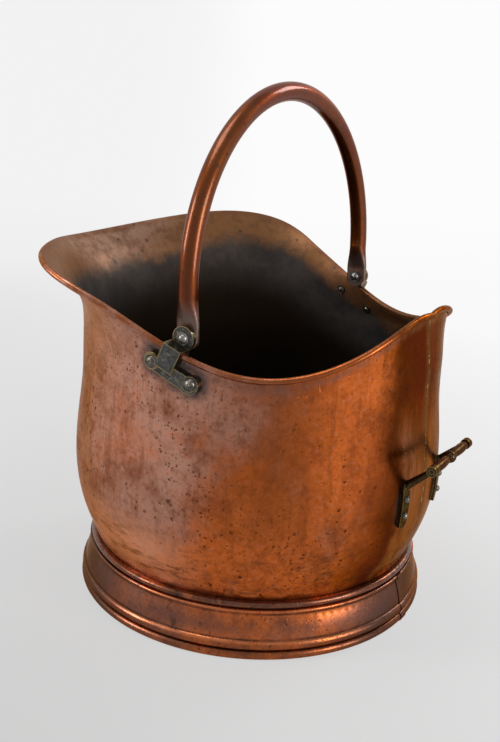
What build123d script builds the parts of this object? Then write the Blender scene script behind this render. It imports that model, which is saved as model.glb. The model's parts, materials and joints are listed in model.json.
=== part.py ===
from build123d import *
import os
from math import acos, atan, cos, degrees, radians, sin, sqrt

# Helmet-shaped log bucket of sheet copper: a raised shell with a wide spout, standing in
# a moulded foot ring, with a swinging bail on two riveted ears and a turned grip behind.
# Millimetres. Z up, origin in the middle of the foot on the floor, spout towards -X.

# Fits and working allowances
seat_gap = 0.3
pin_fit = 0.05
run_fit = 0.08
overrun = 20.0

# Shell: radii of the round body at heights above the floor
sheet = 1.4
body_bottom = 43.2
band_radius = 150.5
band_top = 50.0
lower_radius = 162.7
lower_height = 80.0
belly_radius = 170.8
belly_height = 128.0
shoulder_radius = 167.4
shoulder_height = 180.0
waist_radius = 164.6
waist_height = 231.0

# Rim: how far it runs out past the waist and rises above it, rib by rib from the back (0)
# to the middle of the spout (180), and how steeply the sheet leans out at the edge
spout_reach = 40.2
rim_rise = 88.7
rim_roll_radius = 2.6
rib_angles = [0, 20, 40, 60, 75, 90, 105, 120, 135, 150, 162, 172, 180]
rim_reach_shares = [-0.065, 0.022, 0.027, -0.154, -0.149, 0.037, 0.468, 1.02, 0.838, 0.689, 0.821, 0.958, 1.0]
rim_rise_shares = [0.637, 0.566, 0.308, 0.176, 0.245, 0.437, 0.705, 0.939, 1.0, 0.966, 0.905, 0.861, 0.848]
lip_lean_shares = [0.1, 0.15, 0.1, -0.2, -0.2, 0.1, 0.75, 1.4, 1.2, 1.0, 1.2, 1.5, 1.6]

# Foot ring
foot_radius = 165.0
foot_roll_radius = 4.2
foot_flat = 0.4
foot_ring_height = 43.2
ovolo_radius = 164.4
ovolo_height = 12.6
ovolo_top = 17.0
groove_radius = 161.6
groove_height = 18.2
cavetto_radius = 159.2
cavetto_height = 28.0
neck_radius = 155.4
neck_height = 38.6
lip_bead_radius = 1.6
lip_bead_centre = 155.7
ledge_radius = 137.0
lap_angle = 3.2
lap_thickness = 0.7

# Moulding round the joint of shell and foot
collar_bead_depth = 5.0
collar_bead_height = 6.4

# Bottom pan
pan_sheet = 1.4
pan_rim_height = 12.0
pan_bend_radius = 3.0

# Bail and its pivots
pivot_x = 19.0
pivot_rise = 11.8
bail_half_width = 151.0
bail_tube_radius = 8.2
bail_leg = 34.0
bail_lean = 2.0
palm_thickness = 6.0
palm_radius = 10.3
palm_height = 11.0
pivot_pin_radius = 3.0
pivot_head_radius = 3.9
pivot_head_height = 2.6
pivot_washer_radius = 5.5
pivot_washer_thickness = 1.1

# Ears, laid out along and square to the rim that they straddle
ear_tilt = 23.0
ear_thickness = 4.0
eye_radius = 10.0
eye_thickness = 3.5
neck_width = 16.5
neck_raise = 1.2
lobe_boss_radius = 6.2
lobe_boss_rise = 1.6
lobe_radius = 7.4
lobe_drop = 27.0
front_lobe_offset = -12.4
rear_lobe_offset = 25.0
ear_bar_width = 12.6

# Rivets through the sheet
rivet_radius = 2.0
ear_head_radius = 4.2
ear_head_height = 2.0
ear_dimple_radius = 1.3
ear_dimple_depth = 0.7
bracket_head_radius = 3.1
bracket_head_height = 2.8
rove_radius = 4.4
rove_thickness = 1.0
rivet_tail = 1.0

# Rear grip and its two brackets
bracket_angle = 12.0
bracket_width = 10.0
bracket_length = 44.6
bracket_centre = 129.6
bracket_thickness = 3.0
bracket_rivet_heights = [135.0, 120.0]
arm_root_height = 149.0
arm_root_radius = 3.6
arm_tip_radius = 2.7
grip_x = 191.5
grip_z = 168.0
grip_half_length = 36.0
grip_spigot_radius = 2.0
grip_end_radius = 3.3
grip_swell_radius = 4.4
grip_waist_radius = 3.1
grip_ball_radius = 5.3
boss_radius = 4.6
boss_length = 6.0
swell_share = 0.55
collar_share = 0.2

ear_face_radius = waist_radius + seat_gap + ear_thickness
foot_top = foot_ring_height

# Faces that a primitive stands on or hangs from
standing = (Align.CENTER, Align.CENTER, Align.MIN)
hanging = (Align.CENTER, Align.CENTER, Align.MAX)


def at(reach, height):
    """Point in the XZ plane, given by its reach from the middle and its height."""
    return Vector(reach, 0, height)


def rim_level(angle):
    """Height of the middle of the rolled edge at an angle, between the two nearest ribs."""
    after = next(index for index, value in enumerate(rib_angles) if value > angle)
    before = after - 1
    part = (angle - rib_angles[before]) / (rib_angles[after] - rib_angles[before])
    share = rim_rise_shares[before] * (1 - part) + rim_rise_shares[after] * part
    return waist_height + rim_rise * share


def body_curve(depth):
    """Upright curve of the round body, a given depth inside the outer face."""
    points = [
        at(band_radius - depth, band_top),
        at(lower_radius - depth, lower_height),
        at(belly_radius - depth, belly_height),
        at(shoulder_radius - depth, shoulder_height),
        at(waist_radius - depth, waist_height),
    ]
    start = at(lower_radius - band_radius, lower_height - band_top)
    return Spline(points, tangents=[start, at(0, 1)])


pivot_z = rim_level(degrees(acos(pivot_x / waist_radius))) + pivot_rise


def lip_curve(depth, end, lean):
    """Flare of the sheet from the waist to the point where it meets the rolled edge."""
    third = (end.Z - waist_height) / 3
    start = at(waist_radius - depth, waist_height)
    return Bezier(start, start + at(0, third), end - at(lean * third, third), end)


def rib(angle, reach_share, rise_share, lean, ease=0.0):
    """Closed outline of the sheet and its rolled edge in the upright plane at an angle.
    Ease fattens the outline all round."""
    centre = at(waist_radius + spout_reach * reach_share, waist_height + rim_rise * rise_share)
    tilt = atan(lean)
    along = at(sin(tilt), cos(tilt))
    out = at(cos(tilt), -sin(tilt))
    roll = rim_roll_radius + ease
    wall = sheet + 2 * ease
    meet = -180 + degrees(acos((roll - wall) / roll))

    def on_roll(turn):
        return centre + out * (roll * cos(radians(turn))) + along * (roll * sin(radians(turn)))

    quarter = (180 - meet) / 4
    outer_end = on_roll(meet)
    inner_end = on_roll(180)
    outer = body_curve(-ease)
    inner = body_curve(sheet + ease)
    foot_outer = at(band_radius + ease, body_bottom)
    foot_inner = at(band_radius - sheet - ease, body_bottom)
    edges = [
        Line(foot_outer, outer @ 0),
        outer,
        lip_curve(-ease, outer_end, lean),
        ThreePointArc(outer_end, on_roll(meet + quarter), on_roll(meet + 2 * quarter)),
        ThreePointArc(on_roll(meet + 2 * quarter), on_roll(meet + 3 * quarter), inner_end),
        lip_curve(sheet + ease, inner_end, lean),
        inner,
        Line(inner @ 0, foot_inner),
        Line(foot_inner, foot_outer),
    ]
    return Rot(0, 0, angle) * Wire(edges)


def half_wall(ease=0.0):
    """Shell on the +Y side, drawn through ribs that run on past the plane of symmetry."""
    table = list(zip(rib_angles, rim_reach_shares, rim_rise_shares, lip_lean_shares))
    before = (-table[1][0],) + table[1][1:]
    after = (2 * table[-1][0] - table[-2][0],) + table[-2][1:]
    wires = [rib(*row, ease=ease) for row in [before] + table + [after]]
    size = 2 * (waist_radius + spout_reach + overrun)
    keep = Box(size, size, size, align=(Align.CENTER, Align.MIN, Align.MIN))
    return Solid.make_loft(wires) & keep


def other_side(shape):
    return mirror(shape, about=Plane.XZ)


def body_shell(half):
    return half + other_side(half)


def skirt_edge(depth):
    """Upright section from the middle out to the foot ring's face, less a given depth."""
    top = foot_top - depth
    corner = at(neck_radius - depth, neck_height)
    cavetto = ThreePointArc(
        corner,
        at(cavetto_radius - depth, cavetto_height),
        at(groove_radius - depth, groove_height),
    )
    ovolo = ThreePointArc(
        at(groove_radius - depth, ovolo_top),
        at(ovolo_radius - depth, ovolo_height),
        at(groove_radius - depth, 2 * foot_roll_radius - foot_flat),
    )
    edges = [
        Line(at(0, top), at(neck_radius - depth, top)),
        Line(at(neck_radius - depth, top), corner),
        cavetto,
        Line(cavetto @ 1, ovolo @ 0),
        ovolo,
        Line(ovolo @ 1, at(groove_radius - depth, 0)),
        Line(at(groove_radius - depth, 0), at(0, 0)),
        Line(at(0, 0), at(0, top)),
    ]
    return Face(Wire(edges))


def upright_frame(reach, height):
    """Frame of the XZ plane with its origin at a reach and a height."""
    return Plane(origin=at(reach, height), x_dir=(1, 0, 0), z_dir=(0, -1, 0))


def upright_circle(reach, height, radius):
    return upright_frame(reach, height) * Circle(radius)


def upright_box(reach_low, reach_high, low, high):
    width = reach_high - reach_low
    height = high - low
    return upright_frame((reach_low + reach_high) / 2, (low + high) / 2) * Rectangle(width, height)


def skirt_section(fatten=0.0):
    """Section of the foot ring: ledge, lip bead, cavetto, ovolo and rolled foot."""
    sheet_part = skirt_edge(-fatten) - skirt_edge(sheet)
    ledge = upright_box(ledge_radius, neck_radius, foot_top - sheet, foot_top)
    middle = upright_box(0, ledge_radius, 0, foot_top + overrun)
    lip = upright_circle(lip_bead_centre, foot_top - lip_bead_radius, lip_bead_radius + fatten)
    roll = upright_circle(
        foot_radius - foot_roll_radius,
        foot_roll_radius - foot_flat,
        foot_roll_radius + fatten,
    )
    below = upright_box(0, foot_radius + overrun, -overrun, 0)
    above = upright_box(0, foot_radius + overrun, foot_top, foot_top + overrun)
    section = sheet_part - middle + ledge + lip + roll
    return section - below - above


def foot_skirt():
    ring = revolve(skirt_section(), Axis.Z, 360)
    lap = Rot(0, 0, -lap_angle / 2) * revolve(skirt_section(lap_thickness), Axis.Z, lap_angle)
    return ring + lap


def collar_bead():
    """Half-round moulding that stands on the foot ring's ledge against the shell."""
    inner = band_radius + seat_gap
    top = foot_top + collar_bead_height
    mid = (foot_top + top) / 2
    edges = [
        Line(at(inner, top), at(inner, foot_top)),
        Line(at(inner, foot_top), at(inner + collar_bead_depth / 2, foot_top)),
        ThreePointArc(
            at(inner + collar_bead_depth / 2, foot_top),
            at(inner + collar_bead_depth, mid),
            at(inner + collar_bead_depth / 2, top),
        ),
        Line(at(inner + collar_bead_depth / 2, top), at(inner, top)),
    ]
    return revolve(Face(Wire(edges)), Axis.Z, 360)


def bottom_pan():
    """Round pan standing on the ledge inside the shell, its edge turned up."""
    outer = band_radius - sheet - seat_gap
    height = pan_rim_height
    solid = Pos(0, 0, foot_top) * Cylinder(outer, height, align=standing)
    solid = fillet(solid.edges().group_by(Axis.Z)[0], pan_bend_radius)
    hollow = Pos(0, 0, foot_top + pan_sheet) * Cylinder(outer - pan_sheet, height, align=standing)
    hollow = fillet(hollow.edges().group_by(Axis.Z)[0], pan_bend_radius - pan_sheet)
    return solid - hollow


def oblong(width, depth, height):
    """Level outline with two rounded ends joined by flats, or by arcs when it is round."""
    half = width / 2
    end = depth / 2
    round_one = width == depth
    reach = half * cos(radians(45)) if round_one else half - end
    side = end * sin(radians(45)) if round_one else end
    corners = [(reach, side), (-reach, side), (-reach, -side), (reach, -side)]
    first, second, third, fourth = [Vector(x, y, height) for x, y in corners]
    if round_one:
        upper = ThreePointArc(first, Vector(0, end, height), second)
        lower = ThreePointArc(third, Vector(0, -end, height), fourth)
    else:
        upper = Line(first, second)
        lower = Line(third, fourth)
    left = ThreePointArc(second, Vector(-half, 0, height), third)
    right = ThreePointArc(fourth, Vector(half, 0, height), first)
    return Wire([upper, left, lower, right])


def bail_leg_solid():
    """One leg on the +Y side: round tube above, pressed into a flat palm at the pivot."""
    tube = 2 * bail_tube_radius
    palm = 2 * palm_radius
    blend = bail_leg - palm_height
    sections = [
        oblong(palm, palm_thickness, palm_height - blend / 4),
        oblong(palm, palm_thickness, palm_height),
        oblong(tube, tube, bail_leg - blend / 4),
        oblong(tube, tube, bail_leg),
    ]
    neck = Solid.make_loft(sections)
    low = palm_height - blend / 4
    blank = extrude(Face(oblong(palm, palm_thickness, low)), amount=-(low + palm_radius))
    end = Rot(90, 0, 0) * Cylinder(palm_radius, palm)
    block = Pos(0, 0, low / 2) * Box(palm, palm, low)
    foot = blank & (end + block)
    return Pos(pivot_x, bail_half_width, pivot_z) * (neck + foot)


def bail_tube():
    """Half-ring of tube on two straight legs, leaning a little towards the spout."""
    centre = Vector(pivot_x, 0, pivot_z + bail_leg)
    section = Pos(pivot_x, bail_half_width, pivot_z + bail_leg) * Circle(bail_tube_radius)
    arch = revolve(section, Axis(centre, (1, 0, 0)), 180)
    leg = bail_leg_solid()
    whole = arch + leg + other_side(leg)
    bore = Pos(pivot_x, 0, pivot_z) * Rot(90, 0, 0) * Cylinder(
        pivot_pin_radius + run_fit, 2 * (bail_half_width + overrun)
    )
    return whole.rotate(Axis((pivot_x, 0, pivot_z), (0, 1, 0)), -bail_lean) - bore


eye_inner = bail_half_width + palm_thickness / 2 + seat_gap
eye_outer = eye_inner + eye_thickness
bridge_drop = pivot_washer_radius + seat_gap


def ear_layout(shape, start, length):
    """Outline drawn along and square to the rim at the pivot, made solid along +Y."""
    along = (cos(radians(ear_tilt)), 0, -sin(radians(ear_tilt)))
    plane = Plane(origin=(pivot_x, start, pivot_z), x_dir=along, z_dir=(0, -1, 0))
    return extrude(plane * shape, amount=-length)


def ear_strip(top_drop, bottom_drop, start, length):
    """Upright strip of the ear's neck between two drops below the pivot."""
    middle = Pos(0, -(top_drop + bottom_drop) / 2)
    return ear_layout(middle * Rectangle(neck_width, bottom_drop - top_drop), start, length)


def ear(fat_wall, seats):
    """Cast ear on the +Y side: a plate with two bossed lobes bent to the shell, a neck over
    the rolled edge and an eye beside the palm of the bail."""
    depth = ear_face_radius + neck_raise + overrun - eye_inner
    tall = 2 * (waist_height + rim_rise)
    saddle_drop = pivot_rise * cos(radians(ear_tilt))
    lobes = Pos(front_lobe_offset, -lobe_drop) * Circle(lobe_radius)
    lobes += Pos(rear_lobe_offset, -lobe_drop) * Circle(lobe_radius)
    middle = (front_lobe_offset + rear_lobe_offset) / 2
    bar = Pos(middle, -lobe_drop) * Rectangle(rear_lobe_offset - front_lobe_offset, ear_bar_width)
    plate = ear_layout(lobes + bar, eye_inner, depth) & Cylinder(ear_face_radius, tall)
    raised = Cylinder(ear_face_radius + neck_raise, tall)
    neck = ear_strip(saddle_drop, lobe_drop, eye_inner, depth) & raised
    bosses = [seat.boss() for seat in seats]
    spot_faces = [seat.spot_face() for seat in seats]
    cheek = (plate + neck + bosses) - spot_faces - fat_wall
    outer = max(cheek.solids(), key=lambda piece: piece.center().Y)
    saddle = (ear_strip(bridge_drop, saddle_drop, eye_inner, depth) & raised) - fat_wall
    eye = ear_layout(Circle(eye_radius), eye_inner, eye_thickness)
    tongue = ear_strip(0, bridge_drop, eye_inner, eye_thickness)
    return outer + saddle + eye + tongue


def outward(angle):
    return Vector(cos(radians(angle)), sin(radians(angle)), 0)


def wall_hits(shell, angle, height):
    """Where a level line from the middle leaves the sheet at an angle: the inner and the
    outer point, each with its normal."""
    hits = shell.find_intersection_points(Axis((0, 0, height), outward(angle)))
    ahead = [hit for hit in hits if hit[0].dot(outward(angle)) > 0]
    return sorted(ahead, key=lambda hit: hit[0].dot(outward(angle)))[:2]


def dome(radius, height):
    """Low round head standing on the XY plane."""
    bulge = (radius * radius + height * height) / (2 * height)
    half = acos((bulge - height) / bulge) / 2
    crown = at(bulge * sin(half), height - bulge + bulge * cos(half))
    arc = ThreePointArc(at(radius, 0), crown, at(0, height))
    edges = [Line(at(0, 0), at(radius, 0)), arc, Line(at(0, height), at(0, 0))]
    return revolve(Face(Wire(edges)), Axis.Z, 360)


def ear_rivet_head():
    """Low head with a small hollow punched in its crown."""
    punch = Cone(0, ear_dimple_radius, ear_dimple_depth, align=hanging)
    return dome(ear_head_radius, ear_head_height) - Pos(0, 0, ear_head_height) * punch


def rivet(head, grip):
    """Rivet with its head on the XY plane and its shank down through a given grip, with the
    end spread over the rove."""
    shank_length = grip + rove_thickness
    shank = Cylinder(rivet_radius, shank_length, align=hanging)
    tail = Pos(0, 0, -shank_length) * Rot(180, 0, 0) * dome(rivet_radius + rivet_tail / 2, rivet_tail)
    return head + shank + tail


def rove(grip):
    """Washer that the rivet's end is spread over."""
    disc = Cylinder(rove_radius, rove_thickness, align=hanging)
    return Pos(0, 0, -grip) * (disc - Cylinder(rivet_radius + pin_fit, 2 * rove_thickness + overrun))


def rivet_hole(reach):
    return Cylinder(rivet_radius + pin_fit, 2 * reach)


class RivetSeat:
    """Place of one rivet square to the sheet: the outer face of the sheet there, the way
    out of it, how far the head stands off that face, and the head."""

    def __init__(self, outer, way, lift, head):
        self.frame = Plane(origin=outer + way * lift, z_dir=way)
        self.lift = lift
        self.head = head
        self.grip = lift + sheet + seat_gap

    def rivet(self):
        return self.frame * rivet(self.head, self.grip)

    def rove(self):
        return self.frame * rove(self.grip)

    def hole(self):
        return self.frame * rivet_hole(self.grip + overrun)

    def boss(self):
        return self.frame * Cylinder(lobe_boss_radius, self.lift, align=hanging)

    def spot_face(self):
        return self.frame * Cylinder(lobe_boss_radius, overrun, align=standing)


def ear_rivet_seats(shell):
    """Rivets through the two lobes of the ear on the +Y side."""
    tilt = radians(ear_tilt)
    lift = seat_gap + ear_thickness + lobe_boss_rise
    head = ear_rivet_head()
    seats = []
    for offset in (front_lobe_offset, rear_lobe_offset):
        x = pivot_x + offset * cos(tilt) - lobe_drop * sin(tilt)
        z = pivot_z - offset * sin(tilt) - lobe_drop * cos(tilt)
        outer, way = wall_hits(shell, degrees(acos(x / ear_face_radius)), z)[1]
        seats.append(RivetSeat(outer, way, lift, head))
    return seats


def bracket_rivet_seats(shell):
    """Rivets through the plate of the bracket on the +Y side."""
    lift = seat_gap + bracket_thickness + pin_fit
    head = dome(bracket_head_radius, bracket_head_height)
    seats = []
    for height in bracket_rivet_heights:
        outer, way = wall_hits(shell, bracket_angle, height)[1]
        seats.append(RivetSeat(outer, way, lift, head))
    return seats


def drilled(shape, seats):
    for seat in seats:
        shape -= seat.hole()
    return shape


def pivot_place(reach):
    """Frame on the pivot's axis on the +Y side, at a reach from the middle, facing out."""
    return Plane(origin=(pivot_x, reach, pivot_z), x_dir=(1, 0, 0), z_dir=(0, 1, 0))


def pivot_washer(reach):
    washer = Cylinder(pivot_washer_radius, pivot_washer_thickness, align=standing)
    return pivot_place(reach) * (washer - Cylinder(pivot_pin_radius + pin_fit, overrun))


palm_inner = bail_half_width - palm_thickness / 2
inner_washer_face = palm_inner - seat_gap - pivot_washer_thickness
outer_washer_face = eye_outer + pivot_washer_thickness


def pivot_washers():
    return [pivot_washer(inner_washer_face), pivot_washer(eye_outer)]


def pivot_rivet():
    """Domed pin through the washers, the palm of the bail and the eye of the ear."""
    length = outer_washer_face - inner_washer_face
    pin = Cylinder(pivot_pin_radius, length, align=standing)
    pin = pivot_place(inner_washer_face) * pin
    head = pivot_place(outer_washer_face) * dome(pivot_head_radius, pivot_head_height)
    tail = pivot_place(inner_washer_face) * Rot(180, 0, 0) * dome(pivot_head_radius, pivot_head_height)
    return pin + head + tail


def bracket(shell):
    """Cast bracket on the +Y side: a plate bent to the belly, an arm and a boss."""
    near = body_curve(-seat_gap)
    far = body_curve(-seat_gap - bracket_thickness)
    band = Face(Wire([near, Line(near @ 1, far @ 1), far, Line(far @ 0, near @ 0)]))
    wide = 4 * bracket_angle
    strip = Rot(0, 0, bracket_angle - wide / 2) * revolve(band, Axis.Z, wide)
    way = outward(bracket_angle)
    frame = Plane(origin=(0, 0, bracket_centre), x_dir=(0, 0, 1), z_dir=way)
    blank = extrude(frame * SlotOverall(bracket_length, bracket_width), amount=2 * belly_radius)
    plate = strip & blank
    wall = wall_hits(shell, bracket_angle, arm_root_height)[1][0].dot(way)
    root = way * (wall + seat_gap + arm_root_radius) + Vector(0, 0, arm_root_height)
    tip = Vector(grip_x, grip_half_length + boss_length / 2, grip_z)
    reach = tip - root
    arm = Cone(arm_root_radius, arm_tip_radius, reach.length, align=standing)
    arm = Plane(origin=root, z_dir=reach) * arm + Pos(root) * Sphere(arm_root_radius)
    boss = Pos(tip) * Rot(90, 0, 0) * Cylinder(boss_radius, boss_length)
    spigot = Rot(90, 0, 0) * Cylinder(grip_spigot_radius + pin_fit, 2 * (grip_half_length + overrun))
    room = Rot(90, 0, 0) * Cylinder(grip_end_radius + seat_gap, 2 * grip_half_length)
    return plate + arm + boss - Pos(grip_x, 0, grip_z) * (spigot + room)


def rear_grip():
    """Turned grip: a ball between two beads, swelling barrels, and a spigot at each end."""
    bead = grip_ball_radius * collar_share
    neck = sqrt(grip_ball_radius * grip_ball_radius - grip_waist_radius * grip_waist_radius)
    bead_end = neck + 2 * bead
    swell = bead_end + (grip_half_length - bead_end) * swell_share
    turn = acos(grip_waist_radius / grip_ball_radius) / 2
    tip = grip_half_length + boss_length
    edges = [
        Line(at(0, 0), at(grip_ball_radius, 0)),
        ThreePointArc(
            at(grip_ball_radius, 0),
            at(grip_ball_radius * cos(turn), grip_ball_radius * sin(turn)),
            at(grip_waist_radius, neck),
        ),
        ThreePointArc(
            at(grip_waist_radius, neck),
            at(grip_waist_radius + bead, neck + bead),
            at(grip_waist_radius, bead_end),
        ),
        ThreePointArc(
            at(grip_waist_radius, bead_end),
            at(grip_swell_radius, swell),
            at(grip_end_radius, grip_half_length),
        ),
        Line(at(grip_end_radius, grip_half_length), at(grip_spigot_radius, grip_half_length)),
        Line(at(grip_spigot_radius, grip_half_length), at(grip_spigot_radius, tip)),
        Line(at(grip_spigot_radius, tip), at(0, tip)),
        Line(at(0, tip), at(0, 0)),
    ]
    half = revolve(Face(Wire(edges)), Axis.Z, 360)
    whole = half + mirror(half, about=Plane.XY)
    return Pos(grip_x, 0, grip_z) * Rot(90, 0, 0) * whole


def save(name, pieces):
    """Write one node; a node of several pieces is written as a group of solids."""
    shape = pieces[0] if len(pieces) == 1 else Compound(children=pieces)
    shape.label = name
    export_step(shape, os.path.join("parts", name + ".step"))


def save_pair(name, pieces):
    """Write the right-hand node on the +Y side and its mirror image on the left."""
    mirrored = [other_side(piece) for piece in pieces]
    save(name + "_right", pieces)
    save(name + "_left", mirrored)


def main():
    os.makedirs("parts", exist_ok=True)
    half = half_wall()
    fat_wall = half_wall(seat_gap)
    shell = half.shells()[0]
    ear_seats = ear_rivet_seats(shell)
    bracket_seats = bracket_rivet_seats(shell)
    eye_bore = pivot_place(0) * Cylinder(pivot_pin_radius + pin_fit, eye_outer + overrun, align=standing)
    save("body_shell", [body_shell(drilled(half, ear_seats + bracket_seats))])
    save("foot_skirt", [foot_skirt()])
    save("collar_bead", [collar_bead()])
    save("bottom_pan", [bottom_pan()])
    save("bail_tube", [bail_tube()])
    save("rear_grip", [rear_grip()])
    save_pair("ear", [drilled(ear(fat_wall, ear_seats), ear_seats) - eye_bore])
    save_pair("ear_rivets", [seat.rivet() for seat in ear_seats])
    save_pair("ear_roves", [seat.rove() for seat in ear_seats])
    save_pair("pivot_rivet", [pivot_rivet()])
    save_pair("pivot_washers", pivot_washers())
    save_pair("grip_bracket", [drilled(bracket(shell), bracket_seats)])
    save_pair("bracket_rivets", [seat.rivet() for seat in bracket_seats])
    save_pair("bracket_roves", [seat.rove() for seat in bracket_seats])


main()
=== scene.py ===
import bpy
import json
from math import atan2, cos, pi, radians, sin
from mathutils import Matrix, Vector


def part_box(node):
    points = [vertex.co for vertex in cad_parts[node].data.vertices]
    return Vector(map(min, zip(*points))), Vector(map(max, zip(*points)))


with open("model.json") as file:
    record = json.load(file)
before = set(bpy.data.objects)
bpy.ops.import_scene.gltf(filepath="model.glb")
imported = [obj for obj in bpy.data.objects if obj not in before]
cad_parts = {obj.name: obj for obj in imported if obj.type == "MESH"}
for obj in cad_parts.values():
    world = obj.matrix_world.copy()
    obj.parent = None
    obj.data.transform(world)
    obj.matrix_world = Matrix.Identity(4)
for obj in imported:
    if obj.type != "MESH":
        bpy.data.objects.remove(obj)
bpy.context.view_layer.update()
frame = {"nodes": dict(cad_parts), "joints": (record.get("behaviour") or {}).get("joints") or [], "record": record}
nodes = frame["nodes"]
scene = bpy.context.scene

# Places read from the frame, in metres
foot_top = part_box("foot_skirt")[1].z
collar_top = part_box("collar_bead")[1].z
pivot = Vector(frame["joints"][0]["pos_m"])

# Thickness of the shell's rolled edge
rolled_edge = 0.0052

# Stretch along X over which the back of the bucket begins. A pair of places, here and below,
# is where a smooth change starts and where it is full.
back_reach = (0.05, 0.1)

# Colour that metal turns to at grazing angles
edge_tint = (0.68, 0.44, 0.29, 1.0)


def rim_curve(steps=24):
    """Top of the rolled edge as pairs: share of the half turn from the back, and height."""
    tops = {}
    for vertex in nodes["body_shell"].data.vertices:
        x, y, z = vertex.co
        share = abs(atan2(y, x)) / pi
        slot = min(int(share * steps), steps - 1)
        tops[slot] = max(tops.get(slot, (0.0, share)), (z, share))
    points = sorted((share, z) for z, share in tops.values())
    return [(0.0, points[0][1])] + points + [(1.0, points[-1][1])]


def rivet_line(node):
    """Line between the two rivets of a node on the right side, the front or upper one first.
    A head's radius is taken as a sixth of the height that both rivets span."""
    low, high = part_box(node)
    middle = (low.y + high.y) / 2
    radius = (high.z - low.z) / 6
    first = Vector((low.x + radius, middle, high.z - radius))
    second = Vector((high.x - radius, middle, low.z + radius))
    return first, second


def shaded(colour, level):
    """A colour made brighter or darker by one factor."""
    return tuple(level * part for part in colour)


class Graph:
    """Builds one material's node tree; its sums, patterns and mixes return an output socket."""

    def __init__(self, name):
        self.mat = bpy.data.materials.new(name)
        self.mat.use_nodes = True
        self.tree = self.mat.node_tree
        self.tree.nodes.clear()
        self.out = self.add("ShaderNodeOutputMaterial")
        self.shader = self.add("ShaderNodeBsdfPrincipled")
        self.tree.links.new(self.shader.outputs[0], self.out.inputs[0])
        coord = self.add("ShaderNodeTexCoord")
        self.place = coord.outputs["Object"]
        self.normal = coord.outputs["Normal"]
        self.x, self.y, self.z = self.split(self.place)

    def add(self, kind):
        return self.tree.nodes.new(kind)

    def put(self, socket, value):
        if isinstance(value, bpy.types.NodeSocket):
            self.tree.links.new(value, socket)
        else:
            socket.default_value = value

    def math(self, op, a, b=0.0, clamp=False):
        node = self.add("ShaderNodeMath")
        node.operation = op
        node.use_clamp = clamp
        self.put(node.inputs[0], a)
        self.put(node.inputs[1], b)
        return node.outputs[0]

    def plus(self, a, b, clamp=False):
        return self.math("ADD", a, b, clamp)

    def minus(self, a, b, clamp=False):
        return self.math("SUBTRACT", a, b, clamp)

    def absolute(self, value):
        return self.math("ABSOLUTE", value)

    def times(self, *values):
        product = values[0]
        for value in values[1:]:
            product = self.math("MULTIPLY", product, value)
        return product

    def most(self, *values):
        largest = values[0]
        for value in values[1:]:
            largest = self.math("MAXIMUM", largest, value)
        return largest

    def wobble(self, noise, spread):
        """Noise moved to lie round zero, scaled to a spread."""
        return self.times(self.minus(noise, 0.5), spread)

    def vmath(self, op, a, b):
        node = self.add("ShaderNodeVectorMath")
        node.operation = op
        self.put(node.inputs[0], a)
        self.put(node.inputs[1], b)
        return node.outputs["Value" if op in ("DOT_PRODUCT", "DISTANCE") else "Vector"]

    def stretch(self, x, y, z):
        return self.vmath("MULTIPLY", self.place, (x, y, z))

    def split(self, vector):
        node = self.add("ShaderNodeSeparateXYZ")
        self.put(node.inputs[0], vector)
        return node.outputs[:3]

    def join(self, x, y, z):
        node = self.add("ShaderNodeCombineXYZ")
        for socket, value in zip(node.inputs, (x, y, z)):
            self.put(socket, value)
        return node.outputs[0]

    def mirrored(self):
        """Place with both sides of the bucket folded onto the right one."""
        return self.join(self.x, self.absolute(self.y), self.z)

    def noise(self, scale, detail=4.0, rough=0.55, vector=None, colour=False):
        node = self.add("ShaderNodeTexNoise")
        self.put(node.inputs["Vector"], vector or self.place)
        node.inputs["Scale"].default_value = scale
        node.inputs["Detail"].default_value = detail
        node.inputs["Roughness"].default_value = rough
        return node.outputs["Color" if colour else "Fac"]

    def warped(self, scale, amount):
        """Place shifted a little at random, so that round cells turn into ragged ones."""
        shift = self.vmath("SUBTRACT", self.noise(scale, 3.0, 0.6, colour=True), (0.5, 0.5, 0.5))
        shift = self.vmath("MULTIPLY", shift, (amount, amount, amount))
        return self.vmath("ADD", self.place, shift)

    def ramp(self, value, low, high, start=0.0, end=1.0, smooth=True):
        node = self.add("ShaderNodeMapRange")
        node.interpolation_type = "SMOOTHSTEP" if smooth else "LINEAR"
        self.put(node.inputs["Value"], value)
        node.inputs["From Min"].default_value = low
        node.inputs["From Max"].default_value = high
        node.inputs["To Min"].default_value = start
        node.inputs["To Max"].default_value = end
        return node.outputs[0]

    def band(self, value, middle, half):
        """One at the middle, falling smoothly to zero a half width to each side."""
        return self.ramp(self.absolute(self.minus(value, middle)), half, 0.0)

    def curve(self, value, points):
        node = self.add("ShaderNodeFloatCurve")
        self.put(node.inputs["Value"], value)
        line = node.mapping.curves[0]
        line.points[0].location = points[0]
        line.points[1].location = points[-1]
        for point in points[1:-1]:
            line.points.new(*point)
        node.mapping.update()
        return node.outputs[0]

    def tint(self, share, first, second):
        node = self.add("ShaderNodeMix")
        node.data_type = "RGBA"
        self.put(node.inputs[0], share)
        for socket, value in ((node.inputs[6], first), (node.inputs[7], second)):
            self.put(socket, value if isinstance(value, bpy.types.NodeSocket) else (*value, 1.0))
        return node.outputs[2]

    def bump(self, height, strength, distance, below=None):
        node = self.add("ShaderNodeBump")
        node.inputs["Strength"].default_value = strength
        node.inputs["Distance"].default_value = distance
        self.put(node.inputs["Height"], height)
        if below:
            self.put(node.inputs["Normal"], below)
        return node.outputs[0]

    def spots(self, scale, size, share, vector):
        """Specks in a share of the cells, up to a size given as a share of a cell."""
        cells = self.add("ShaderNodeTexVoronoi")
        self.put(cells.inputs["Vector"], vector)
        cells.inputs["Scale"].default_value = scale
        chance, girth = self.split(cells.outputs["Color"])[:2]
        chosen = self.math("LESS_THAN", chance, share)
        depth = self.minus(self.times(girth, size), cells.outputs["Distance"])
        return self.times(self.ramp(depth, -0.02, 0.08), chosen)

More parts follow.
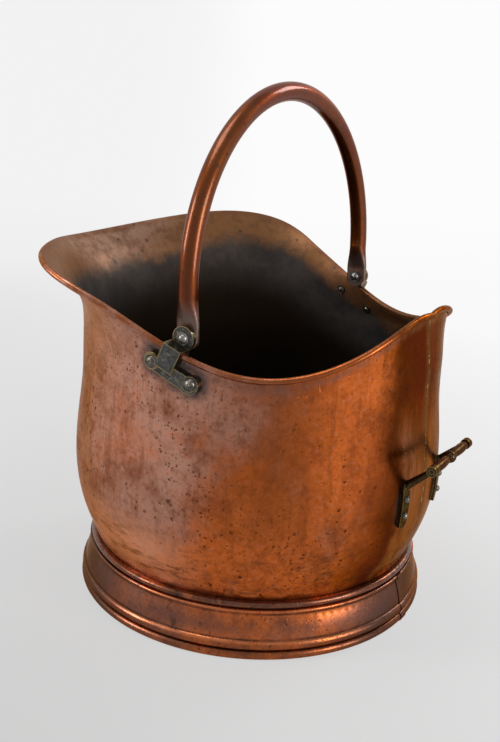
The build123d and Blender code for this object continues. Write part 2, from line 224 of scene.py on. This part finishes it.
    def near(self, line, reach, fade):
        """One within a reach of a line between two points, on both sides of the object."""
        start, end = line
        along = end - start
        offset = self.vmath("SUBTRACT", self.mirrored(), start)
        way = self.vmath("DOT_PRODUCT", offset, along)
        share = self.math("DIVIDE", way, along.dot(along), clamp=True)
        step = self.vmath("MULTIPLY", self.join(share, share, share), along)
        return self.ramp(self.vmath("DISTANCE", offset, step), reach + fade, reach)

    def finish(self, colour, rough, normal=None, metallic=1.0, **fixed):
        self.put(self.shader.inputs["Base Color"], colour)
        self.put(self.shader.inputs["Roughness"], rough)
        self.put(self.shader.inputs["Metallic"], metallic)
        if normal:
            self.put(self.shader.inputs["Normal"], normal)
        for key, value in fixed.items():
            self.shader.inputs[key.replace("_", " ")].default_value = value
        return self.mat


def copper_specks(g, fine, brown, colour, pits):
    """Ragged pits of three sizes, upright gouges and dark scratches."""
    crowd = g.ramp(g.noise(16.0, 3.0, 0.5), 0.42, 0.62)
    dust = g.times(g.spots(330.0, 0.44, 0.65 * pits, g.warped(160.0, 0.006)), crowd)
    small = g.spots(190.0, 0.36, 0.45 * pits, g.warped(260.0, 0.006))
    small = g.times(small, g.ramp(g.noise(12.0, 3.0, 0.5), 0.36, 0.56))
    large = g.times(g.spots(58.0, 0.27, 0.24 * pits, g.warped(150.0, 0.012)), 0.85)
    gouges = g.spots(150.0, 0.15, 0.07 * pits, g.stretch(1.0, 1.0, 0.11))
    gouges = g.times(gouges, g.ramp(g.noise(9.0, 2.0, 0.5), 0.47, 0.56))
    scratches = g.times(g.ramp(fine, 0.33, 0.25), g.ramp(g.noise(17.0, 2.0, 0.5), 0.5, 0.6), 0.8)
    specks = g.most(dust, small, large, gouges, scratches)
    return specks, g.tint(g.times(specks, 0.78), colour, shaded(brown, 0.3))


def worn_copper(name, clean, rosy, brown, rosy_share, pits):
    """Old copper sheet: rosy and orange patches, brown film, fine streaks, scratches, gouges,
    ragged pits and soft dents."""
    g = Graph(name)
    soft = g.warped(18.0, 0.03)
    mottle = g.noise(70.0, 7.0, 0.74)
    stipple = g.noise(260.0, 4.0, 0.65)
    cloud = g.noise(24.0, 6.0, 0.62, soft)
    streak = g.noise(46.0, 5.0, 0.6, g.stretch(2.4, 2.4, 0.25))
    fine = g.noise(900.0, 2.0, 0.5, g.stretch(1.0, 1.0, 0.025))
    patch = g.plus(g.noise(13.0, 5.0, 0.6, soft), rosy_share(g))
    patch = g.plus(patch, g.wobble(mottle, 0.28))
    colour = g.tint(g.ramp(patch, 0.38, 0.80), clean, rosy)
    colour = g.tint(g.ramp(cloud, 0.47, 0.7, 0.0, 0.62), colour, brown)
    colour = g.tint(g.ramp(mottle, 0.48, 0.68, 0.0, 0.6), colour, brown)
    colour = g.tint(g.ramp(mottle, 0.46, 0.3, 0.0, 0.25), colour, shaded(clean, 1.4))
    colour = g.tint(g.ramp(stipple, 0.5, 0.68, 0.0, 0.4), colour, brown)
    colour = g.tint(g.ramp(stipple, 0.46, 0.34, 0.0, 0.14), colour, shaded(rosy, 1.5))
    colour = g.tint(g.ramp(streak, 0.5, 0.7, 0.0, 0.4), colour, brown)
    pale_scratch = g.ramp(fine, 0.66, 0.74)
    colour = g.tint(g.times(pale_scratch, 0.3), colour, shaded(clean, 1.3))
    specks, colour = copper_specks(g, fine, brown, colour, pits)
    rough = g.ramp(g.plus(g.times(mottle, 0.5), g.times(cloud, 0.5)), 0.3, 0.7, 0.20, 0.40)
    rough = g.plus(rough, g.times(specks, 0.25), clamp=True)
    normal = g.bump(g.noise(15.0, 2.0, 0.4), 0.22, 0.010)
    normal = g.bump(g.noise(90.0, 4.0, 0.6), 0.07, 0.002, normal)
    normal = g.bump(g.minus(pale_scratch, specks), 0.3, 0.0004, normal)
    return g, colour, rough, normal


def sheen_and_stain(g, colour, blotch):
    """Paler copper high on the spout side, painted as a sheen of light, and a brown stain below each ear."""
    sheen_heights = (0.20, 0.30)
    sheen_reach = (0.03, -0.07)
    stain_middle = 0.088
    stain_half_width = 0.058
    stain_heights = (0.09, 0.135)
    # Painted sheen: copper made pale and pinkish high on the spout side, where light is reflected
    sheen = g.times(g.ramp(g.z, *sheen_heights), g.ramp(g.x, *sheen_reach))
    colour = g.tint(g.times(sheen, 0.4), colour, (0.60, 0.34, 0.25))
    stain = g.times(g.band(g.x, stain_middle, stain_half_width), g.ramp(g.z, *stain_heights))
    stain = g.times(stain, g.ramp(blotch, 0.32, 0.56))
    return g.tint(g.times(stain, 0.6), colour, (0.26, 0.066, 0.016))


def back_film(g, colour):
    """A dark film up the back, faded to tan in combed streaks on the lower part."""
    rear_reach = (0.08, 0.12)
    film_width = (0.072, 0.046)
    lower_width = (0.105, 0.062)
    lower_heights = (0.235, 0.18)
    faded_width = (0.055, 0.030)
    faded_heights = (0.235, 0.17)
    unevenness = 0.05
    width = g.plus(g.absolute(g.y), g.wobble(g.noise(22.0, 4.0, 0.6), unevenness))
    rear = g.ramp(g.x, *rear_reach)
    lower = g.times(g.ramp(width, *lower_width), rear, g.ramp(g.z, *lower_heights))
    colour = g.tint(g.times(lower, 0.75), colour, (0.125, 0.024, 0.005))
    combed = g.ramp(g.noise(90.0, 5.0, 0.65, g.stretch(1.0, 1.0, 0.08)), 0.4, 0.6)
    faded = g.times(g.ramp(width, *faded_width), g.ramp(g.z, *faded_heights))
    colour = g.tint(g.times(faded, rear, 0.6), colour, (0.46, 0.20, 0.105))
    unfaded = g.minus(1.0, g.times(faded, g.ramp(combed, 0.0, 1.0, 0.4, 0.85)))
    film = g.times(g.ramp(width, *film_width), g.ramp(g.x, *back_reach), unfaded)
    return g.tint(g.times(film, 0.92), colour, (0.060, 0.013, 0.003))


def painted_light_and_smears(g, colour, drop, blotch, ragged):
    """Copper painted bright low on the spout side as a reflection of light, smears low on the belly, and painted
    shade under the rolled edge, above the collar and round the castings."""
    reflection_heights = (0.125, 0.085)
    reflection_reach = (0.06, -0.02)
    smear_heights = (0.125, 0.070)
    collar_shade_height = 0.006
    # full reach of the painted shade round the line of rivets, and the fade beyond it
    ear_shade = (0.008, 0.011)
    bracket_shade = (0.005, 0.008)
    # Painted reflection: bright pinkish copper low on the spout side, standing for light reflected from below
    painted_reflection = g.times(g.ramp(g.z, *reflection_heights), g.ramp(g.x, *reflection_reach))
    painted_reflection = g.times(painted_reflection, g.ramp(blotch, 0.3, 0.55, 0.5, 1.0))
    colour = g.tint(g.times(painted_reflection, 0.7), colour, (0.80, 0.34, 0.19))
    smear = g.ramp(g.noise(85.0, 6.0, 0.7, g.stretch(0.4, 0.4, 1.5)), 0.50, 0.66)
    smear = g.times(smear, g.ramp(g.z, *smear_heights), 0.72)
    colour = g.tint(smear, colour, (0.11, 0.042, 0.018))
    # Painted shade: a purplish band just under the rolled edge
    under = g.times(g.band(drop, 1.9 * rolled_edge, 1.2 * rolled_edge), ragged, 0.5)
    colour = g.tint(under, colour, (0.20, 0.105, 0.085))
    # Painted shade: darker copper just above the collar
    low = g.times(g.ramp(g.z, collar_top + collar_shade_height, collar_top), ragged, 0.6)
    colour = g.tint(low, colour, (0.085, 0.038, 0.022))
    # Painted shade: dark grey round the ear and bracket castings
    castings = g.most(
        g.near(rivet_line("ear_rivets_right"), *ear_shade),
        g.near(rivet_line("bracket_rivets_right"), *bracket_shade),
    )
    castings = g.times(castings, g.ramp(ragged, 0.0, 1.0, 0.6, 1.0))
    return g.tint(castings, colour, (0.062, 0.052, 0.054))


def back_seam(g, colour, normal, ragged):
    """Brazed seam up the back: a dull strip with a broken pale line along its middle."""
    strip_width = (0.0075, 0.002)
    line_width = (0.0011, 0.0003)
    wander = 0.006
    off = g.absolute(g.plus(g.y, g.wobble(g.noise(45.0, 4.0, 0.6), wander)))
    back = g.ramp(g.x, *back_reach)
    strip = g.times(g.ramp(off, *strip_width), back)
    line = g.times(g.ramp(off, *line_width), back)
    dashes = g.ramp(g.noise(130.0, 4.0, 0.65, g.stretch(0.3, 0.3, 1.0)), 0.53, 0.60)
    dull = g.times(strip, g.ramp(ragged, 0.0, 1.0, 0.35, 0.8))
    colour = g.tint(dull, colour, (0.13, 0.075, 0.055))
    colour = g.tint(g.times(line, dashes, 0.8), colour, (0.62, 0.42, 0.24))
    return colour, g.bump(g.minus(line, g.times(strip, 0.4)), 0.3, 0.0006, normal)


def shell_inside(g, inside, drop, colour, rough):
    """Inside of the shell: a tan lip, rosier at the tip, that darkens down to a dull sooty colour and, deeper
    down, to near black painted shade.
    """
    tip_reach = (-0.150, -0.190)
    lip_reach = (-0.06, -0.16)
    lip_depths = (0.022, 0.031)
    lip_fade = (-0.011, 0.009)
    shade_depths = (0.045, 0.09)
    rough_depths = (0.01, 0.05)
    dull_depths = (0.012, 0.05)
    cloud_spread = 0.03
    torn_spread = 0.018
    cloud = g.noise(26.0, 5.0, 0.65, g.warped(16.0, 0.03))
    torn = g.noise(75.0, 6.0, 0.72)
    depth = g.plus(g.plus(drop, g.wobble(cloud, cloud_spread)), g.wobble(torn, torn_spread))
    lip = g.tint(g.ramp(g.x, *tip_reach), (0.19, 0.084, 0.033), (0.29, 0.165, 0.115))
    lip = g.tint(g.ramp(g.noise(90.0, 5.0, 0.7), 0.42, 0.64, 0.0, 0.7), lip, (0.12, 0.052, 0.028))
    small_blots = g.spots(120.0, 0.36, 0.4, g.warped(140.0, 0.007))
    large_blots = g.spots(55.0, 0.24, 0.35, g.warped(90.0, 0.014))
    blots = g.times(g.most(small_blots, large_blots), 0.75)
    lip = g.tint(blots, lip, (0.05, 0.032, 0.026))
    soot_and_shade = g.tint(g.ramp(cloud, 0.38, 0.62), (0.020, 0.021, 0.023), (0.044, 0.039, 0.037))
    # Painted shade: near black deep inside the shell
    soot_and_shade = g.tint(g.ramp(depth, *shade_depths), soot_and_shade, (0.006, 0.004, 0.002))
    below_lip = g.minus(depth, g.ramp(g.x, *lip_reach, *lip_depths))
    colour = g.tint(inside, colour, g.tint(g.ramp(below_lip, *lip_fade), lip, soot_and_shade))
    rough = g.tint(inside, rough, g.ramp(depth, *rough_depths, 0.42, 0.62))
    metal = g.minus(0.95, g.times(inside, g.ramp(depth, *dull_depths, 0.35, 0.65)))
    return colour, rough, metal


def body_material():
    """Copper of the shell, rosy on the spout's sides and rubbed bright on its rolled edge, with painted shade on
    the edge's inner half.
    """
    rosy_way = (-0.6, 0.55, 0.5)
    rosy_reach = (0.085, 0.185)
    inward = (-0.004, -0.02)

    def rosy_share(g):
        return g.ramp(g.vmath("DOT_PRODUCT", g.mirrored(), rosy_way), *rosy_reach, -0.17, 0.29)

    clean = (0.54, 0.122, 0.024)
    rosy = (0.47, 0.235, 0.168)
    brown = (0.17, 0.040, 0.011)
    g, colour, rough, normal = worn_copper("copper_body", clean, rosy, brown, rosy_share, 0.85)
    turn = g.math("DIVIDE", g.math("ARCTAN2", g.absolute(g.y), g.x), pi)
    drop = g.minus(g.curve(turn, rim_curve()), g.z)
    out_x, out_y = g.split(g.normal)[:2]
    inside = g.ramp(g.plus(g.times(g.x, out_x), g.times(g.y, out_y)), *inward)
    blotch = g.noise(20.0, 5.0, 0.62, g.warped(18.0, 0.03))
    ragged = g.ramp(g.noise(80.0, 5.0, 0.65), 0.3, 0.62)
    colour = sheen_and_stain(g, colour, blotch)
    colour = back_film(g, colour)
    colour = painted_light_and_smears(g, colour, drop, blotch, ragged)
    colour, normal = back_seam(g, colour, normal, ragged)
    colour, rough, metal = shell_inside(g, inside, drop, colour, rough)
    roll = g.ramp(drop, rolled_edge, 0.5 * rolled_edge)
    roll = g.times(roll, g.ramp(g.noise(55.0, 5.0, 0.65), 0.35, 0.62, 0.25, 0.9))
    # Rolled edge: rubbed copper on its outer half, and painted shade on its inner half
    rubbed = g.tint(inside, (0.28, 0.080, 0.026), (0.15, 0.060, 0.028))
    colour = g.tint(roll, colour, rubbed)
    return g.finish(colour, rough, normal, metal, Specular_Tint=edge_tint)


def foot_material():
    """Copper of the foot ring: dull at the front and back ends, dark in its grooves and rubbed along its edges,
    with a painted highlight on those edges away from the ends."""
    rosy_way = (-0.7, -0.3, 0.0)
    rosy_reach = (-0.02, 0.12)
    front_reach = (0.05, -0.07)
    rear_reach = (0.13, 0.16)
    lap_half_width = 0.0055
    # middle and half width of bands, as shares of the foot ring's height
    groove_bands = ((0.41, 0.05), (0.19, 0.05), (0.9, 0.04))
    shade_band = (0.62, 0.3)
    ovolo_band = (0.37, 0.035)
    # start and end of changes, as shares of that height
    base_shares = (0.36, 0.30)
    lip_shares = (0.955, 0.985)

    def rosy_share(g):
        return g.ramp(g.vmath("DOT_PRODUCT", g.place, rosy_way), *rosy_reach, -0.12, 0.12)

    clean = (0.56, 0.136, 0.034)
    rosy = (0.42, 0.200, 0.140)
    brown = (0.14, 0.042, 0.020)
    g, colour, rough, normal = worn_copper("copper_foot", clean, rosy, brown, rosy_share, 0.75)
    height = g.math("DIVIDE", g.z, foot_top)
    ragged = g.ramp(g.noise(45.0, 4.0, 0.6), 0.25, 0.6, 0.35, 1.0)
    ends = g.most(g.ramp(g.x, *front_reach), g.ramp(g.x, *rear_reach))
    film = g.times(ends, g.ramp(g.noise(15.0, 5.0, 0.6), 0.3, 0.6, 0.75, 1.0), 0.94)
    colour = g.tint(film, colour, (0.070, 0.052, 0.050))
    grooves = g.most(*(g.band(height, *groove) for groove in groove_bands))
    colour = g.tint(g.times(grooves, ragged, 0.9), colour, (0.045, 0.018, 0.011))
    shade = g.ramp(g.noise(19.0, 5.0, 0.6), 0.44, 0.6)
    shade = g.times(g.band(height, *shade_band), shade, 0.6)
    colour = g.tint(shade, colour, (0.14, 0.066, 0.052))
    base = g.times(g.ramp(height, *base_shares), ragged, 0.62)
    colour = g.tint(base, colour, (0.12, 0.046, 0.026))
    # Edge wear on the lip and the ovolo, kept away from the ends, where it is also a painted highlight
    wear_and_highlight = g.most(g.ramp(height, *lip_shares), g.band(height, *ovolo_band))
    wear_and_highlight = g.times(wear_and_highlight, g.minus(1.0, g.times(ends, 0.85)))
    wear_and_highlight = g.times(wear_and_highlight, g.ramp(g.noise(38.0, 4.0, 0.6), 0.35, 0.62, 0.1, 0.7))
    colour = g.tint(wear_and_highlight, colour, (0.60, 0.21, 0.085))
    lap = g.times(g.band(g.y, 0.0, lap_half_width), g.ramp(g.x, *back_reach), ragged, 0.55)
    colour = g.tint(lap, colour, (0.12, 0.07, 0.055))
    coat = dict(Coat_Weight=0.05, Coat_Roughness=0.2)
    return g.finish(colour, rough, normal, 0.95, Specular_Tint=edge_tint, **coat)


def collar_material():
    """Copper of the collar bead, dark with patches of wear."""
    def rosy_share(g):
        return 0.0

    clean = (0.19, 0.060, 0.026)
    rosy = (0.17, 0.080, 0.055)
    brown = (0.055, 0.024, 0.015)
    g, colour, rough, normal = worn_copper("copper_collar", clean, rosy, brown, rosy_share, 0.8)
    wear = g.ramp(g.noise(50.0, 5.0, 0.65), 0.50, 0.64)
    colour = g.tint(g.times(wear, 0.65), colour, (0.40, 0.125, 0.045))
    return g.finish(colour, rough, normal, 0.9, Coat_Weight=0.1, Coat_Roughness=0.25)


def bail_material():
    """Smooth red-brown copper of the bail, dull on its flattened palms."""
    palm_heights = (0.034, 0.012)
    g = Graph("copper_bail")
    fine = g.noise(75.0, 6.0, 0.65)
    broad = g.ramp(g.noise(17.0, 4.0, 0.6, g.warped(14.0, 0.03)), 0.36, 0.66)
    colour = g.tint(broad, (0.125, 0.024, 0.002), (0.16, 0.040, 0.006))
    colour = g.tint(g.ramp(fine, 0.46, 0.7, 0.0, 0.4), colour, (0.06, 0.014, 0.005))
    small_specks = g.spots(190.0, 0.4, 0.4, g.warped(190.0, 0.005))
    large_specks = g.spots(70.0, 0.22, 0.35, g.warped(90.0, 0.01))
    specks = g.times(g.most(small_specks, large_specks), 0.7)
    colour = g.tint(specks, colour, (0.05, 0.022, 0.014))
    above_pivot = g.minus(g.z, pivot.z)
    palm = g.times(g.ramp(above_pivot, *palm_heights), g.ramp(fine, 0.3, 0.6, 0.5, 1.0))
    colour = g.tint(g.times(palm, 0.75), colour, (0.17, 0.135, 0.12))
    rough = g.plus(g.ramp(fine, 0.3, 0.72, 0.36, 0.40), g.times(palm, 0.12), clamp=True)
    normal = g.bump(g.noise(34.0, 2.0, 0.4), 0.05, 0.003)
    coat = dict(Coat_Weight=0.42, Coat_Roughness=0.09)
    return g.finish(colour, rough, normal, 0.97, Specular_Tint=edge_tint, **coat)


def cast_material(name, base, gold, pale, wear_size, coat):
    """Tarnished casting: dark film, dusty blotches and edges rubbed back to yellow metal."""
    g = Graph(name)
    grain = g.noise(420.0, 5.0, 0.7)
    cloud = g.noise(120.0, 4.0, 0.6, g.warped(90.0, 0.006))
    blotch = g.noise(230.0, 6.0, 0.72, g.warped(120.0, 0.004))
    bevel = g.add("ShaderNodeBevel")
    bevel.samples = 6
    bevel.inputs["Radius"].default_value = wear_size
    face_normal = g.add("ShaderNodeNewGeometry").outputs["True Normal"]
    edge = g.minus(1.0, g.vmath("DOT_PRODUCT", bevel.outputs[0], face_normal))
    edge = g.plus(g.plus(edge, g.wobble(cloud, 0.45)), g.wobble(grain, 0.15))
    edge = g.ramp(edge, 0.04, 0.26)
    colour = g.tint(g.ramp(cloud, 0.42, 0.66), base, shaded(base, 0.4))
    colour = g.tint(g.ramp(blotch, 0.5, 0.68, 0.0, 0.75), colour, pale)
    colour = g.tint(g.ramp(grain, 0.55, 0.75, 0.0, 0.4), colour, shaded(pale, 1.4))
    rubbed = g.tint(g.ramp(blotch, 0.4, 0.6), gold, shaded(gold, 0.6))
    colour = g.tint(edge, colour, rubbed)
    rough = g.minus(g.ramp(grain, 0.3, 0.75, 0.25, 0.5), g.times(edge, 0.12), clamp=True)
    normal = g.bump(grain, 0.18, 0.0004)
    normal = g.bump(cloud, 0.25, 0.001, normal)
    coats = dict(Coat_Weight=coat, Coat_Roughness=0.12)
    return g.finish(colour, rough, normal, 0.92, Specular_Tint=edge_tint, **coats)


def pan_material():
    """Sooted copper of the bottom pan."""
    g = Graph("copper_pan")
    cloud = g.noise(20.0, 6.0, 0.7, g.warped(16.0, 0.03))
    colour = g.tint(g.ramp(cloud, 0.38, 0.66), (0.05, 0.042, 0.04), (0.14, 0.085, 0.055))
    colour = g.tint(g.spots(80.0, 0.35, 0.5, g.warped(90.0, 0.01)), colour, (0.02, 0.018, 0.017))
    normal = g.bump(g.noise(60.0, 5.0, 0.6), 0.25, 0.002)
    return g.finish(colour, g.ramp(cloud, 0.3, 0.7, 0.5, 0.75), normal, 0.4)


# Castings: colours of the film, of the rubbed edges and of the dust, width of an edge's wear in
# metres, and weight of the clear coat
castings = {
    "bronze_grip": ((0.050, 0.028, 0.012), (0.34, 0.19, 0.07), (0.12, 0.07, 0.035), 0.0008, 0.05),
    "cast_ear": ((0.055, 0.057, 0.055), (0.46, 0.33, 0.13), (0.21, 0.19, 0.145), 0.0022, 0.3),
    "rivet_metal": ((0.12, 0.11, 0.095), (0.48, 0.40, 0.24), (0.36, 0.33, 0.28), 0.0007, 0.15),
    "pivot_metal": ((0.22, 0.22, 0.21), (0.50, 0.46, 0.36), (0.48, 0.47, 0.45), 0.0007, 0.2),
    "cast_bracket": ((0.055, 0.038, 0.017), (0.50, 0.34, 0.12), (0.14, 0.10, 0.05), 0.0015, 0.0),
}
materials = {
    "copper_body": body_material(),
    "copper_foot": foot_material(),
    "copper_collar": collar_material(),
    "copper_pan": pan_material(),
    "copper_bail": bail_material(),
}
for slot, tones in castings.items():
    materials[slot] = cast_material(slot, *tones)


def smoothing_group():
    """Joins a mesh's split vertices and shades it smooth except over sharp edges."""
    weld_distance = 0.00001
    sharp_angle = radians(32)
    group = bpy.data.node_groups.new("smooth_faces", "GeometryNodeTree")
    group.is_modifier = True
    group.interface.new_socket("Geometry", in_out="INPUT", socket_type="NodeSocketGeometry")
    group.interface.new_socket("Geometry", in_out="OUTPUT", socket_type="NodeSocketGeometry")
    add, link = group.nodes.new, group.links.new
    start, end = add("NodeGroupInput"), add("NodeGroupOutput")
    weld = add("GeometryNodeMergeByDistance")
    weld.inputs["Distance"].default_value = weld_distance
    link(start.outputs[0], weld.inputs["Geometry"])
    angle = add("GeometryNodeInputMeshEdgeAngle")
    soft = add("FunctionNodeCompare")
    soft.data_type = "FLOAT"
    soft.operation = "LESS_EQUAL"
    link(angle.outputs[0], soft.inputs[0])
    soft.inputs[1].default_value = sharp_angle
    faces = add("GeometryNodeSetShadeSmooth")
    faces.domain = "FACE"
    edges = add("GeometryNodeSetShadeSmooth")
    edges.domain = "EDGE"
    link(weld.outputs[0], faces.inputs["Geometry"])
    link(faces.outputs[0], edges.inputs["Geometry"])
    link(soft.outputs[0], edges.inputs["Shade Smooth"])
    link(edges.outputs[0], end.inputs[0])
    return group


smooth = smoothing_group()
slots = {row["node"]: row["material_slot"] for row in frame["record"]["subparts"]}
for name, node in nodes.items():
    node.data.materials.clear()
    node.data.materials.append(materials[slots[name]])
    modifier = node.modifiers.new("smooth_faces", "NODES")
    modifier.node_group = smooth

# Camera at the photograph's viewing angle
right = (0.84721, 0.52891, 0.04988)
up = (-0.20101, 0.23223, 0.95166)
back = (0.49176, -0.81628, 0.30307)
eye = (0.458328, -0.793048, 0.498058)
camera = bpy.data.objects.new("camera", bpy.data.cameras.new("camera"))
scene.collection.objects.link(camera)
rows = [(right[i], up[i], back[i], eye[i]) for i in range(3)]
camera.matrix_world = Matrix(rows + [(0, 0, 0, 1)])
camera.data.sensor_fit = "VERTICAL"
camera.data.sensor_height = 36.0
camera.data.lens = 49.80
camera.data.shift_x = 0.00877
camera.data.shift_y = -0.00457
camera.data.clip_end = 60.0
scene.camera = camera


def floor_level(g, depth, across):
    """Brightness of the floor and backdrop by the place in depth and across, in metres."""
    rise = g.ramp(depth, -0.6, 1.4, 0.60, 1.0, smooth=False)
    slant = g.ramp(across, -0.5, 0.5, -0.09, 0.09)
    front_shade = g.ramp(depth, -0.42, -0.95, 0.0, 0.16)
    far_front = g.ramp(depth, -1.2, -3.5, 0.0, 0.14)
    left_front = g.times(g.ramp(across, -0.08, -0.5, 0.0, 0.12), g.ramp(depth, -0.42, -0.66))
    right_side = g.ramp(across, 0.30, 0.95, 0.0, 0.40)
    left_side = g.ramp(across, -0.15, -0.80, 0.0, 0.30)
    beside = g.times(g.most(right_side, left_side), g.ramp(g.absolute(across), 3.5, 1.0))
    beside = g.times(beside, g.ramp(depth, 0.9, -0.1), g.ramp(depth, -3.2, -0.9))
    level = g.minus(g.plus(rise, slant), front_shade)
    for part in (far_front, left_front, beside):
        level = g.plus(level, part)
    return g.math("MINIMUM", level, 1.0)


def cove():
    """Pale floor that sweeps up into a backdrop, which camera and metal see at its own level."""
    near_end = -24.0
    bend_start = 2.2
    bend_radius = 1.6
    wall_top = 7.0
    half_width = 20.0
    steps = 14
    # level directions away from the camera and across its view
    away = (-0.516, 0.857)
    side = (0.857, 0.516)
    turns = [radians(90 * i / steps) for i in range(1, steps + 1)]
    bend = [(bend_start + bend_radius * sin(turn), bend_radius * (1 - cos(turn))) for turn in turns]
    profile = [(near_end, 0.0), (bend_start, 0.0), *bend, (bend_start + bend_radius, wall_top)]
    verts = []
    for depth, height in profile:
        for across in (-half_width, half_width):
            x, y = (away[i] * depth + side[i] * across for i in range(2))
            verts.append((x, y, height))
    faces = [(2 * i, 2 * i + 1, 2 * i + 3, 2 * i + 2) for i in range(len(profile) - 1)]
    mesh = bpy.data.meshes.new("cove")
    mesh.from_pydata(verts, [], faces)
    for polygon in mesh.polygons:
        polygon.use_smooth = True
    cove_object = bpy.data.objects.new("cove", mesh)
    scene.collection.objects.link(cove_object)
    g = Graph("cove")
    depth = g.plus(g.times(g.x, away[0]), g.times(g.y, away[1]))
    across = g.plus(g.times(g.x, side[0]), g.times(g.y, side[1]))
    level = floor_level(g, depth, across)
    diffuse = g.add("ShaderNodeBsdfDiffuse")
    diffuse.inputs["Color"].default_value = (0.72, 0.72, 0.72, 1)
    glow = g.add("ShaderNodeEmission")
    g.put(glow.inputs["Color"], g.join(level, level, level))
    path = g.add("ShaderNodeLightPath")
    rays = ("Is Camera Ray", "Is Glossy Ray", "Is Transmission Ray")
    seen = g.most(*(path.outputs[ray] for ray in rays))
    mix = g.add("ShaderNodeMixShader")
    g.put(mix.inputs[0], g.times(seen, g.ramp(depth, 0.6, 2.4, 0.82, 0.96)))
    g.put(mix.inputs[1], diffuse.outputs[0])
    g.put(mix.inputs[2], glow.outputs[0])
    g.put(g.out.inputs[0], mix.outputs[0])
    g.tree.nodes.remove(g.shader)
    mesh.materials.append(g.mat)


def lamp(name, place, width, height, power, colour=(1, 1, 1)):
    """Soft box aimed at the middle of the bucket."""
    middle = Vector((0, 0, 0.2))
    light = bpy.data.lights.new(name, "AREA")
    light.shape = "RECTANGLE"
    light.size = width
    light.size_y = height
    light.energy = power
    light.color = colour
    holder = bpy.data.objects.new(name, light)
    scene.collection.objects.link(holder)
    holder.location = place
    aim = middle - holder.location
    holder.rotation_euler = aim.to_track_quat("-Z", "Y").to_euler()


def white_world(lit_strength, seen_strength):
    """White surroundings, with one strength as light on dull things and one as they are seen
    by the camera, in reflections and through clear things."""
    world = bpy.data.worlds.new("world")
    scene.world = world
    world.use_nodes = True
    add, link = world.node_tree.nodes.new, world.node_tree.links.new
    sky = world.node_tree.nodes["Background"]
    sky.inputs["Color"].default_value = (0.96, 0.98, 1.0, 1)
    path = add("ShaderNodeLightPath")
    seen = path.outputs["Is Camera Ray"]
    for ray in ("Is Glossy Ray", "Is Transmission Ray"):
        larger = add("ShaderNodeMath")
        larger.operation = "MAXIMUM"
        link(seen, larger.inputs[0])
        link(path.outputs[ray], larger.inputs[1])
        seen = larger.outputs[0]
    strength = add("ShaderNodeMapRange")
    strength.inputs["To Min"].default_value = lit_strength
    strength.inputs["To Max"].default_value = seen_strength
    link(seen, strength.inputs["Value"])
    link(strength.outputs[0], sky.inputs["Strength"])


cove()
lamp("key", (-1.75, -1.6, 1.2), 0.7, 1.2, 30.0, (1.0, 0.98, 0.97))
lamp("side", (2.3, -0.1, 0.75), 0.8, 1.2, 27.0, (1.0, 0.97, 0.92))
lamp("rim", (0.83, 1.81, 1.39), 0.6, 0.7, 14.0)
lamp("top", (-0.6, -0.3, 2.3), 1.1, 1.1, 18.0)
white_world(lit_strength=0.3, seen_strength=0.55)

scene.view_settings.view_transform = "Standard"
